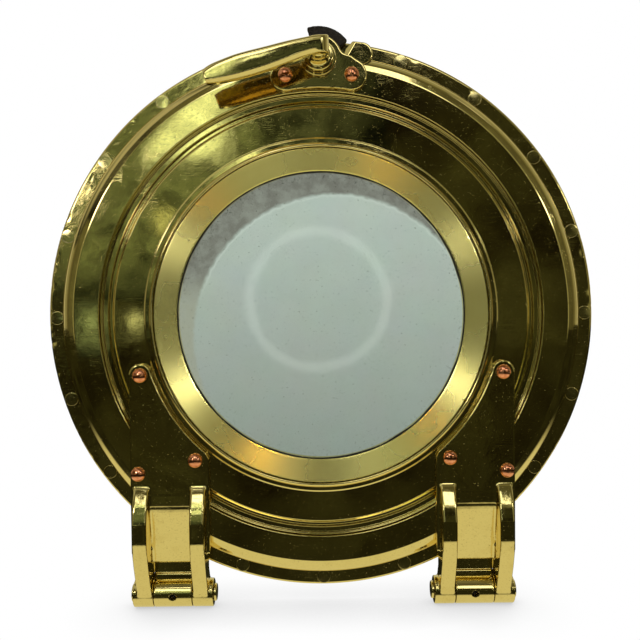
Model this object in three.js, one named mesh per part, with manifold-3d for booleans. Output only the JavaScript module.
// Opening ship's port light: a round brass frame with a short spigot, a
// bottom-hinged glazed cover held by two strap hinges, and a lever latch at
// the top.  Millimetres, +Z up.  The glass axis is parallel to Y and the front
// faces -Y.  The origin lies on the flat back face of the flange, midway across
// its width and straight below the glass axis.  Pieces are drawn about the glass
// axis and the whole assembly is then raised by AXIS_Z.
import * as THREE from 'three';
import { mergeVertices } from 'three/addons/utils/BufferGeometryUtils.js';
import Module from 'manifold-3d';

const wasm = await Module();
wasm.setup();
const { degToRad, radToDeg } = THREE.MathUtils;

// ---- shared dimensions --------------------------------------------------
const RING_SEGMENTS = 48;       // facets round the large rings
const GAP = 0.35;               // clearance left between neighbouring pieces
const CUT_REACH = 60;           // through cuts run from y = -60 to y = 60
const AXIS_Z = 140;             // height of the glass axis above the origin

const FRAME_R = 178;            // outer radius of the frame flange
const FRAME_T = 8;              // flange thickness
const COVER_R = 167.9;          // outside of the cover ring
const COVER_BACK = -9;          // back face of the cover ring
const COVER_FACE = -18;         // polished front faces of the cover ring
const GLASS_R = 102.6;

const HINGE_X = 98.2;           // centre of each hinge, either side of the axis
const PIN_Y = -10.2;            // hinge pin axis
const PIN_Z = -181.3;
const PIN_R = 4;
const KNUCKLE_R = 8.9;
const BARREL_HALF = 12.3;       // half length of the centre knuckle
const EAR_IN = 12.7;            // ear bosses, from the hinge centre
const EAR_OUT = 26.0;

const PLATE_T = 4;              // hinge straps and latch plate
const PLATE_BACK = COVER_FACE - GAP;
const PLATE_FRONT = PLATE_BACK - PLATE_T;

const RIVET_SHANK = 2.5;        // shank radius
const RIVET_HEAD = 4.65;        // head radius
const RIVET_HOLE = RIVET_SHANK + GAP;
const RIVET_SEGMENTS = 10;

const HUB_Z = 162.7;            // latch spindle axis, x = 0
const CAM_R = 23.5;

// Rivet centres [x, z]; the strap rivets are those of the right-hand strap.
const STRAP_RIVETS = [[116.1, -36.9], [118.2, -100.1], [81.6, -91.7]];
const LATCH_RIVETS = [[-21.0, 152.4], [21.0, 152.4]];

const SIDES = [
  { side: 'left', sign: -1 },
  { side: 'right', sign: 1 },
];
const mirrored = (points, sign) => points.map(([x, z]) => [sign * x, z]);

// ---- materials ----------------------------------------------------------
const standard = (settings) => new THREE.MeshStandardMaterial(settings);
const polishedBrass = () => standard({ color: 0xc9a94f, roughness: 0.16, metalness: 1 });
const satinBrass = () => standard({ color: 0xb9a95c, roughness: 0.36, metalness: 1 });
const copper = () => standard({ color: 0xc9764f, roughness: 0.2, metalness: 1 });
const blackIron = () => standard({ color: 0x1a1816, roughness: 0.8, metalness: 0.3 });
const rubber = () => standard({ color: 0x141414, roughness: 0.85, metalness: 0 });
const steel = () => standard({ color: 0x8e9094, roughness: 0.35, metalness: 1 });
const clearGlass = () => standard({
  color: 0xcfd9d2, roughness: 0.05, metalness: 0, transparent: true, opacity: 0.35,
});

// ---- geometry helpers ---------------------------------------------------
// Six times the signed volume; negative when the faces point inward.
function signedVolume(coords, triangles) {
  const corner = new THREE.Vector3();
  const [first, second, third] = [0, 1, 2].map(() => new THREE.Vector3());
  let sum = 0;
  for (let i = 0; i < triangles.length; i += 3) {
    first.fromArray(coords, 3 * triangles[i]);
    second.fromArray(coords, 3 * triangles[i + 1]);
    third.fromArray(coords, 3 * triangles[i + 2]);
    sum += first.dot(corner.crossVectors(second, third));
  }
  return sum;
}

// A closed three.js geometry becomes a solid, with its faces turned outward.
function solid(geometry) {
  geometry.deleteAttribute('normal');
  geometry.deleteAttribute('uv');
  const merged = mergeVertices(geometry, 1e-4);
  const coords = merged.attributes.position.array;
  const index = merged.index.array;
  const triangles = [];
  for (let i = 0; i < index.length; i += 3) {
    const [a, b, c] = [index[i], index[i + 1], index[i + 2]];
    if (a !== b && b !== c && c !== a) triangles.push(a, b, c);
  }
  if (signedVolume(coords, triangles) < 0) {
    for (let i = 0; i < triangles.length; i += 3) {
      [triangles[i + 1], triangles[i + 2]] = [triangles[i + 2], triangles[i + 1]];
    }
  }
  return new wasm.Manifold(new wasm.Mesh({
    numProp: 3,
    vertProperties: new Float32Array(coords),
    triVerts: new Uint32Array(triangles),
  }));
}

// Profile of [radius, y] points turned about a line parallel to Y through x, z.
function turned(profile, { x = 0, z = 0, segments = RING_SEGMENTS } = {}) {
  const points = profile.map(([radius, y]) => new THREE.Vector2(radius, y));
  return solid(new THREE.LatheGeometry(points, segments).translate(x, 0, z));
}

// Ring about the glass axis, from a section that is closed back to its start.
const ring = (section) => turned([...section, section[0]]);

// Shape axes and depth laid onto x, z and y, or onto y, z and x.
const ONTO_XZ = new THREE.Matrix4().set(1, 0, 0, 0, 0, 0, 1, 0, 0, 1, 0, 0, 0, 0, 0, 1);
const ONTO_YZ = new THREE.Matrix4().set(0, 0, 1, 0, 1, 0, 0, 0, 0, 1, 0, 0, 0, 0, 0, 1);
function extruded(outline, from, to, placement) {
  const shape = new THREE.Shape(outline.map(([u, v]) => new THREE.Vector2(u, v)));
  const depth = Math.abs(to - from);
  const geometry = new THREE.ExtrudeGeometry(shape, { depth, bevelEnabled: false });
  geometry.translate(0, 0, Math.min(from, to));
  return solid(geometry.applyMatrix4(placement));
}

// Plate cut from an outline of [x, z] points, between two y values.
const plateY = (outline, y0, y1) => extruded(outline, y0, y1, ONTO_XZ);
// Section of [y, z] points, run between two x values.
const barX = (section, x0, x1) => extruded(section, x0, x1, ONTO_YZ);
const box = ({ x: [x0, x1], y: [y0, y1], z: [z0, z1] }) => (
  plateY([[x0, z0], [x1, z0], [x1, z1], [x0, z1]], y0, y1));

function cylinderY(x, z, radius, y0, y1, segments = 16) {
  const geometry = new THREE.CylinderGeometry(radius, radius, Math.abs(y1 - y0), segments);
  return solid(geometry.translate(x, (y0 + y1) / 2, z));
}

// Cylinder on a hinge pin axis.
function pinCylinder(radius, x0, x1, segments = 24) {
  const geometry = new THREE.CylinderGeometry(radius, radius, Math.abs(x1 - x0), segments);
  geometry.rotateZ(Math.PI / 2);
  return solid(geometry.translate((x0 + x1) / 2, PIN_Y, PIN_Z));
}

// Through holes parallel to Y at each [x, z] centre.
function drill(body, centres, radius, segments = RIVET_SEGMENTS) {
  return centres.reduce((rest, [x, z]) => (
    rest.subtract(cylinderY(x, z, radius, -CUT_REACH, CUT_REACH, segments))), body);
}

// Pin hole through one hinge.
const boreForPin = (body, hingeX, radius, segments) => (
  body.subtract(pinCylinder(radius, hingeX - 30, hingeX + 30, segments)));

// Points along an arc; angles in degrees, anticlockwise from +X towards +Z.
function arc(centreX, centreZ, radius, from, to, steps) {
  return Array.from({ length: steps + 1 }, (_, i) => {
    const angle = degToRad(from + (to - from) * i / steps);
    return [centreX + radius * Math.cos(angle), centreZ + radius * Math.sin(angle)];
  });
}

const assembly = new THREE.Group();
assembly.position.set(0, 0, AXIS_Z);
const [frame, cover, latch] = [0, 1, 2].map(() => new THREE.Group());
assembly.add(frame, cover, latch);

function addPiece(group, name, body, material) {
  const { vertProperties, triVerts } = body.getMesh();
  const geometry = new THREE.BufferGeometry();
  geometry.setAttribute('position', new THREE.Float32BufferAttribute(vertProperties, 3));
  geometry.setIndex(Array.from(triVerts));
  geometry.computeVertexNormals();
  const mesh = new THREE.Mesh(geometry, material);
  mesh.name = name;
  group.add(mesh);
}

// ---- frame --------------------------------------------------------------
const BORE_R = 97;              // clear bore of the spigot
const SPIGOT_R = 101;           // outside of the spigot
const SPIGOT_L = 32;            // how far the spigot reaches into the wall
const LAND_IN = 107.0;          // raised sealing land on the frame
const LAND_OUT = 110.0;
const LAND_H = 2;
const LAND_SLOPE = 0.8;         // run of each sloping side of the land
const FLANGE_CHAMFER = 1.2;
const SPIGOT_CHAMFER = 1.5;
const SUNK = 0.1;               // screws and bracket rivets stop short of the back

const SCREW_PITCH_R = 172.9;    // pitch radius of the flange screws
const SCREW_R = 4.05;
const SCREW_STEP = 18;          // degrees between screw positions
const SCREW_SKIP = [90, 234, 306]; // latch and hinges stand here
const SCREW_SEGMENTS = 12;
const screwCentres = [];
for (let angle = 0; angle < 360; angle += SCREW_STEP) {
  if (!SCREW_SKIP.includes(angle)) {
    const turn = degToRad(angle);
    screwCentres.push([SCREW_PITCH_R * Math.cos(turn), SCREW_PITCH_R * Math.sin(turn)]);
  }
}

const BRACKET_RIVET_DX = 5.5;   // either side of the hinge centre
const BRACKET_RIVET_Z = -130;
const BRACKET_RIVET_HOLE = 2.9;
const bracketRivets = (hingeX) => (
  [-1, 1].map((end) => [hingeX + end * BRACKET_RIVET_DX, BRACKET_RIVET_Z]));

function frameRing() {
  let body = ring([
    [BORE_R, -FRAME_T], [LAND_IN, -FRAME_T], [LAND_IN + LAND_SLOPE, -FRAME_T - LAND_H],
    [LAND_OUT - LAND_SLOPE, -FRAME_T - LAND_H], [LAND_OUT, -FRAME_T],
    [FRAME_R - FLANGE_CHAMFER, -FRAME_T], [FRAME_R, -FRAME_T + FLANGE_CHAMFER], [FRAME_R, 0],
    [SPIGOT_R, 0], [SPIGOT_R, SPIGOT_L - SPIGOT_CHAMFER], [SPIGOT_R - SPIGOT_CHAMFER, SPIGOT_L],
    [BORE_R, SPIGOT_L],
  ]);
  body = drill(body, screwCentres, SCREW_R + 0.3, SCREW_SEGMENTS);
  // pocket in the front for the nut on the latch spindle
  body = body.subtract(cylinderY(0, HUB_Z, 10.5, -20, -1.5, 24));
  // recesses in the back for the hinge brackets, and their rivet holes
  const recessHalf = BARREL_HALF + GAP;
  for (const { sign } of SIDES) {
    const hingeX = sign * HINGE_X;
    body = body.subtract(box({
      x: [hingeX - recessHalf, hingeX + recessHalf], y: [-3.6, 5], z: [-190, -122.6],
    }));
    body = drill(body, bracketRivets(hingeX), BRACKET_RIVET_HOLE);
  }
  return body;
}

const flangeScrew = ([x, z]) => (
  cylinderY(x, z, SCREW_R, -FRAME_T - SUNK, -SUNK, SCREW_SEGMENTS));

// Keeper: raised block on the flange, right of the latch hub, rounded at its right end.
const KEEPER_IN = 162.6;        // radii about the glass axis
const KEEPER_OUT = 176.9;
const KEEPER_ANGLE = 80.6;      // degrees, centre of the rounded end
const KEEPER_FRONT = -16.4;
const KEEPER_NOTCH_X = 15.2;    // the tip left of this is cut down

function keeperOutline(grow) {
  const middle = (KEEPER_IN + KEEPER_OUT) / 2;
  const radius = (KEEPER_OUT - KEEPER_IN) / 2 + grow;
  const turn = degToRad(KEEPER_ANGLE);
  const tilt = 90 - KEEPER_ANGLE;
  return [
    [14.9 - grow, 162.2 - grow],
    ...arc(middle * Math.cos(turn), middle * Math.sin(turn), radius, -90 - tilt, 90 - tilt, 8),
    [22.0 - grow, 175.4 + grow],
    [17.6 - grow, 171.0 + grow * 0.4],
  ];
}

function keeperBlock() {
  const notch = box({ x: [0, KEEPER_NOTCH_X], y: [-17, -10], z: [150, 180] });
  return plateY(keeperOutline(0), -FRAME_T - 0.3, KEEPER_FRONT).subtract(notch);
}

// Hinge bracket: leaf in the frame's back, stepping forward to the centre knuckle; [y, z].
const BRACKET_SECTION = [
  [-0.05, -123], [-3.2, -123], [-3.2, -161.2], [-6.8, -163.0], [-6.8, -168.6],
  [-9.3, -169.8], [-9.3, -173.6], [PIN_Y, PIN_Z], [-3.5, -186.5], [-0.05, -181],
];

function hingeBracket(hingeX) {
  const ends = [hingeX - BARREL_HALF, hingeX + BARREL_HALF];
  let body = barX(BRACKET_SECTION, ...ends).add(pinCylinder(KNUCKLE_R, ...ends));
  body = boreForPin(body, hingeX, PIN_R + GAP);
  // grub screw hole, from the front to the pin
  body = body.subtract(cylinderY(hingeX, PIN_Z, 2.1, -25, PIN_Y, 12));
  return drill(body, bracketRivets(hingeX), BRACKET_RIVET_HOLE);
}

const bracketRivet = ([x, z]) => cylinderY(x, z, RIVET_SHANK, -FRAME_T, -SUNK, RIVET_SEGMENTS);

// The pin is headed on its inner side and passes a washer at its outer end.
// Distances along the pin are from the hinge centre.
const PIN_SEGMENTS = 16;
const SEAT = EAR_OUT + GAP;     // where the head and the washer start
const PIN_HEAD_R = 5.6;
const PIN_HEAD_END = 27.9;
const PIN_SHAFT_IN = 26.4;      // inner end, just inside the head
const PIN_SHAFT_OUT = 27.6;
const WASHER_R = 5.8;
const WASHER_END = 27.3;

function hingePin(hingeX, sign) {
  const shaft = pinCylinder(
    PIN_R, hingeX + sign * PIN_SHAFT_OUT, hingeX - sign * PIN_SHAFT_IN, PIN_SEGMENTS);
  return shaft.add(pinCylinder(
    PIN_HEAD_R, hingeX - sign * SEAT, hingeX - sign * PIN_HEAD_END, PIN_SEGMENTS));
}

function hingeWasher(hingeX, sign) {
  const disc = pinCylinder(
    WASHER_R, hingeX + sign * SEAT, hingeX + sign * WASHER_END, PIN_SEGMENTS);
  return boreForPin(disc, hingeX, PIN_R + 0.3, PIN_SEGMENTS);
}

const grubScrew = (hingeX) => cylinderY(hingeX, PIN_Z, 1.75, -16.8, -14.55, 12);

addPiece(frame, 'frame_ring', frameRing(), polishedBrass());
screwCentres.forEach((centre, i) => {
  const number = String(i + 1).padStart(2, '0');
  addPiece(frame, `flange_screw_${number}`, flangeScrew(centre), polishedBrass());
});
addPiece(frame, 'keeper_block', keeperBlock(), polishedBrass());
for (const { side, sign } of SIDES) {
  const hingeX = sign * HINGE_X;
  addPiece(frame, `hinge_bracket_${side}`, hingeBracket(hingeX), polishedBrass());
  bracketRivets(hingeX).forEach((centre, i) => {
    addPiece(frame, `bracket_rivet_${side}_${i + 1}`, bracketRivet(centre), polishedBrass());
  });
  addPiece(frame, `hinge_pin_${side}`, hingePin(hingeX, sign), polishedBrass());
  addPiece(frame, `hinge_washer_${side}`, hingeWasher(hingeX, sign), polishedBrass());
  addPiece(frame, `hinge_grub_screw_${side}`, grubScrew(hingeX), steel());
}

// ---- cover ring and glazing ---------------------------------------------
const COVER_BORE = 92.5;        // ledge behind the glass
const LEDGE_FRONT = -13;
const GLASS_SEAT_R = GLASS_R + 0.6;
const RIM_STEP = -21.6;         // front of the seat wall inside the rim

const COVER_SECTION = [         // [radius, y]
  // back face, with the seal groove
  [COVER_BORE, COVER_BACK], [104.9, COVER_BACK], [104.9, -14], [112.1, -14], [112.1, COVER_BACK],
  // rounded outer edge
  [166.4, COVER_BACK], [COVER_R, -10.3], [167.5, -12.8], [165.9, -15.3],
  [163.2, -17.2], [159.1, COVER_FACE],
  // moulded groove between the two polished faces
  [143.1, COVER_FACE], [142.3, -16.4], [141.3, -16.4], [140.4, -15.0], [137.6, -15.0],
  [135.6, -16.8], [134.2, -16.8], [132.6, COVER_FACE],
  // inner face, base of the rim, and the rounded rim bead
  [113.8, COVER_FACE], [113.0, -18.6], [109.6, -18.8], [109.2, -24.8], [108.4, -26.2],
  [107.3, -26.6], [106.6, -26.2], [106.4, -25.4], [106.4, RIM_STEP],
  // seat for the glass
  [GLASS_SEAT_R, RIM_STEP], [GLASS_SEAT_R, LEDGE_FRONT], [COVER_BORE, LEDGE_FRONT],
];

function coverRing() {
  let body = ring(COVER_SECTION);
  for (const { sign } of SIDES) body = drill(body, mirrored(STRAP_RIVETS, sign), RIVET_HOLE);
  body = drill(body, LATCH_RIVETS, RIVET_HOLE);
  // cam pocket in the back, and the open slot for the spindle
  body = body.subtract(cylinderY(0, HUB_Z, CAM_R + 1.5, -14.2, 5, 32));
  const slotHalf = 8.5;
  const slot = [...arc(0, HUB_Z, slotHalf, 180, 360, 10), [slotHalf, 190], [-slotHalf, 190]];
  body = body.subtract(plateY(slot, -CUT_REACH, CUT_REACH));
  // the edge is cut away where the keeper stands
  return body.subtract(plateY(keeperOutline(0.8), -CUT_REACH, CUT_REACH));
}

const BEZEL_IN = 91.2;          // clear radius inside the bezel
const BEZEL_OUT = 106.0;
const BEZEL_BACK = -22.2;
const BEZEL_SECTION = [         // [radius, y]
  [BEZEL_IN + 0.4, BEZEL_BACK], [BEZEL_OUT, BEZEL_BACK], [BEZEL_OUT, -25.5],
  [BEZEL_OUT - 0.5, -25.9], [BEZEL_IN + 0.8, -24.5], [BEZEL_IN, -23.8],
];

const SEAL_SECTION = [          // [radius, y], chamfered towards the frame
  [105.4, -13.7], [111.6, -13.7], [111.6, -11.2], [110.4, -10.4], [106.6, -10.4], [105.4, -11.2],
];

const GLASS_T = 5.5;
const GLASS_BACK = -14.8;
const GLASS_FRONT = GLASS_BACK - GLASS_T;
const glassPane = () => turned([
  [0, GLASS_BACK], [GLASS_R, GLASS_BACK], [GLASS_R, GLASS_FRONT], [0, GLASS_FRONT]]);
const gasket = (innerR, back, front) => ring([
  [innerR, back], [GLASS_R, back], [GLASS_R, front], [innerR, front]]);

addPiece(cover, 'cover_ring', coverRing(), polishedBrass());
addPiece(cover, 'glass_bezel', ring(BEZEL_SECTION), satinBrass());
addPiece(cover, 'glass_pane', glassPane(), clearGlass());
addPiece(cover, 'glass_gasket_front', gasket(90.6, -20.65, -21.9), rubber());
addPiece(cover, 'glass_gasket_rear', gasket(93.2, -13.3, -14.5), rubber());
addPiece(cover, 'cover_seal', ring(SEAL_SECTION), rubber());

// ---- rivets and hinge straps --------------------------------------------
// Domed rivet: shank through plate and cover, head on the plate.
function rivet([x, z]) {
  const seat = PLATE_FRONT - 0.2;
  const tail = COVER_BACK - 0.15;
  return turned([
    [0, tail], [RIVET_SHANK, tail], [RIVET_SHANK, seat], [RIVET_HEAD, seat],
    [RIVET_HEAD * 0.97, seat - 1.2], [RIVET_HEAD * 0.78, seat - 2.5],
    [RIVET_HEAD * 0.42, seat - 3.3], [0, seat - 3.55],
  ], { x, z, segments: RIVET_SEGMENTS });
}

const STRAP_IN = 73.6;          // strap edges, from the glass axis
const STRAP_OUT = 123.3;
const STRAP_ARC = 114.7;        // concave edge, concentric with the bezel
const STRAP_BOTTOM = -151;
const RIB_IN = 13.4;            // ribs of the ears, from the hinge centre
const RIB_OUT = 22.9;

// Envelope of the cover, used to shape the underside of the straps.
const coverEnvelope = turned([
  [0, 5], [COVER_R + GAP, 5], [COVER_R + GAP, -10.3], [167.85, -13.0], [166.2, -15.6],
  [163.4, -17.55], [159.2, PLATE_BACK], [0, PLATE_BACK],
]);

// Sections of [y, z] points.
const EAR_SECTION = [
  [-18.3, -109.8], [-22.0, -109.8], [-30.8, -121.0], [-31.6, -124.5], [-31.6, -143.0],
  [-30.4, -150.8], [-27.4, -160.2], [-23.4, -170.0], [-18.9, -180.4], [PIN_Y, PIN_Z],
  [-2.4, -177.2], [-9.6, -164.5], [-9.6, -151.5], [-18.3, -149.5],
];
const WEB_SECTION = [
  [-18.3, -114], [PLATE_FRONT, -114], [PLATE_FRONT, -121.8], [-14.8, -160.2],
  [-10.2, -160.2], [-10.2, -150],
];
const TRIM_SECTION = [
  [-40, -121.8], [PLATE_FRONT - 0.01, -121.8], [-14.8, -160.2], [-14.8, -190], [-40, -190],
];

// Right-hand strap outline: round top end, concave inner edge, square bottom.
function strapOutline() {
  const [topX, topZ] = STRAP_RIVETS[0];
  const arcTop = radToDeg(Math.asin(-topZ / STRAP_ARC));
  const arcBottom = radToDeg(Math.acos(STRAP_IN / STRAP_ARC));
  return [
    [STRAP_OUT, STRAP_BOTTOM],
    ...arc(topX, topZ, STRAP_OUT - topX, 0, 180, 10),
    ...arc(0, 0, STRAP_ARC, -arcTop - 1.5, -arcBottom + 1.2, 8),
    [STRAP_IN, -STRAP_ARC * Math.sin(degToRad(arcBottom)) - 2.2],
    [STRAP_IN, STRAP_BOTTOM],
  ];
}

function hingeStrap(sign) {
  const hingeX = sign * HINGE_X;
  let body = plateY(mirrored(strapOutline(), sign), PLATE_BACK, PLATE_FRONT);
  // web between the ears, sloping back as it goes down
  body = body.add(barX(WEB_SECTION, hingeX - RIB_IN - 1, hingeX + RIB_IN + 1));
  // the plate's lower end is trimmed away between the ears
  body = body.subtract(barX(TRIM_SECTION, hingeX - RIB_IN, hingeX + RIB_IN));
  for (const end of [-1, 1]) {
    body = body.add(barX(EAR_SECTION, hingeX + end * RIB_IN, hingeX + end * RIB_OUT));
    body = body.add(pinCylinder(KNUCKLE_R, hingeX + end * EAR_IN, hingeX + end * EAR_OUT));
  }
  body = body.subtract(coverEnvelope);
  body = boreForPin(body, hingeX, PIN_R + GAP);
  return drill(body, mirrored(STRAP_RIVETS, sign), RIVET_HOLE);
}

for (const { side, sign } of SIDES) {
  addPiece(cover, `hinge_strap_${side}`, hingeStrap(sign), polishedBrass());
  mirrored(STRAP_RIVETS, sign).forEach((centre, i) => {
    addPiece(cover, `strap_rivet_${side}_${i + 1}`, rivet(centre), copper());
  });
}

// ---- latch --------------------------------------------------------------
const LATCH_OUTLINE = [         // [x, z]
  [-21, 142.8], [-10, 144.0], [0, 144.4], [10, 144.0], [21, 142.8], [28.6, 158.2],
  [21, 164.2], [14.6, 166.2], [-14.6, 166.2], [-21, 164.2], [-28.6, 158.2],
];
const SPINDLE_R = 4.2;
const SPINDLE_BORE = 4.6;       // hole in the washers, cam and nut
const CAM_FROM = 36;            // degrees, closed position
const CAM_TO = 108;
const CAM_BACK = -9.8;
const CAM_FRONT = -13.7;
const LEVER_BACK = -43.5;       // finger room behind the lever arm
const LEVER_FRONT = -51.0;

// Cylinder on the spindle axis, and a through hole there.
const hubCylinder = (radius, y0, y1, segments) => (
  cylinderY(0, HUB_Z, radius, y0, y1, segments));
const boreHub = (body, radius = SPINDLE_BORE) => drill(body, [[0, HUB_Z]], radius, 16);

function latchPlate() {
  let body = plateY(LATCH_OUTLINE, PLATE_BACK, PLATE_FRONT);
  body = body.add(hubCylinder(15.0, PLATE_BACK, PLATE_FRONT, 32));
  for (const [x, z] of LATCH_RIVETS) {
    body = body.add(cylinderY(x, z, 9.6, PLATE_BACK, PLATE_FRONT, 24));
  }
  return drill(boreHub(body, 5.3), LATCH_RIVETS, RIVET_HOLE);
}

// Centre line of the lever arm, from the hub to the left: [x, z, half width].
const LEVER_STATIONS = [
  [6.4, 163.2, 3.4], [3.0, 163.2, 5.0], [-3, 162.7, 5.2], [-11, 160.9, 5.6],
  [-19, 158.6, 6.2], [-30.3, 155.2, 6.8], [-40, 152.6, 7.1], [-49, 150.2, 7.1],
  [-57, 147.9, 6.5], [-62.5, 146.3, 5.9], [-66.6, 144.9, 5.0], [-68.6, 144.2, 3.6],
];

// Each half width is laid off square to the line through the neighbouring stations.
function leverOutline() {
  const upper = [];
  const lower = [];
  LEVER_STATIONS.forEach(([x, z, halfWidth], i) => {
    const before = LEVER_STATIONS[Math.max(0, i - 1)];
    const after = LEVER_STATIONS[Math.min(LEVER_STATIONS.length - 1, i + 1)];
    const runX = after[0] - before[0];
    const runZ = after[1] - before[1];
    const scale = halfWidth / Math.hypot(runX, runZ);
    upper.push([x + runZ * scale, z - runX * scale]);
    lower.push([x - runZ * scale, z + runX * scale]);
  });
  return [...upper, ...lower.reverse()];
}

// Arm, neck standing forward and round hub, with a blind bore from the back.
function leverHandle() {
  return plateY(leverOutline(), LEVER_BACK, LEVER_FRONT)
    .add(hubCylinder(5.9, -28, LEVER_BACK - 2, 20))
    .add(hubCylinder(9.5, -24.5, -29.2, 28))
    .subtract(hubCylinder(4.55, -37.8, 0, 16));
}

function latchCam() {
  const sector = plateY([
    ...arc(0, HUB_Z, CAM_R, CAM_FROM, CAM_TO, 12),
    ...arc(0, HUB_Z, 6.5, CAM_TO, CAM_FROM, 4),
  ], CAM_BACK, CAM_FRONT);
  return boreHub(sector.add(hubCylinder(9, CAM_BACK, CAM_FRONT, 24)));
}

const pivotWasher = () => boreHub(hubCylinder(11.3, -22.7, -24.15, 28));
const latchSpindle = () => hubCylinder(SPINDLE_R, -37.4, -3.0, 16);
const springWasher = () => boreHub(hubCylinder(7.6, -14.2, -17.9, 20));
const spindleNut = () => boreHub(hubCylinder(7.6, -9.4, -3.6, 6));

addPiece(cover, 'latch_plate', latchPlate(), polishedBrass());
LATCH_RIVETS.forEach((centre, i) => {
  addPiece(cover, `latch_rivet_${i + 1}`, rivet(centre), copper());
});
addPiece(latch, 'lever_handle', leverHandle(), polishedBrass());
addPiece(latch, 'pivot_washer', pivotWasher(), polishedBrass());
addPiece(latch, 'latch_spindle', latchSpindle(), steel());
addPiece(latch, 'spring_washer', springWasher(), steel());
addPiece(latch, 'latch_cam', latchCam(), blackIron());
addPiece(latch, 'spindle_nut', spindleNut(), steel());

export default assembly;
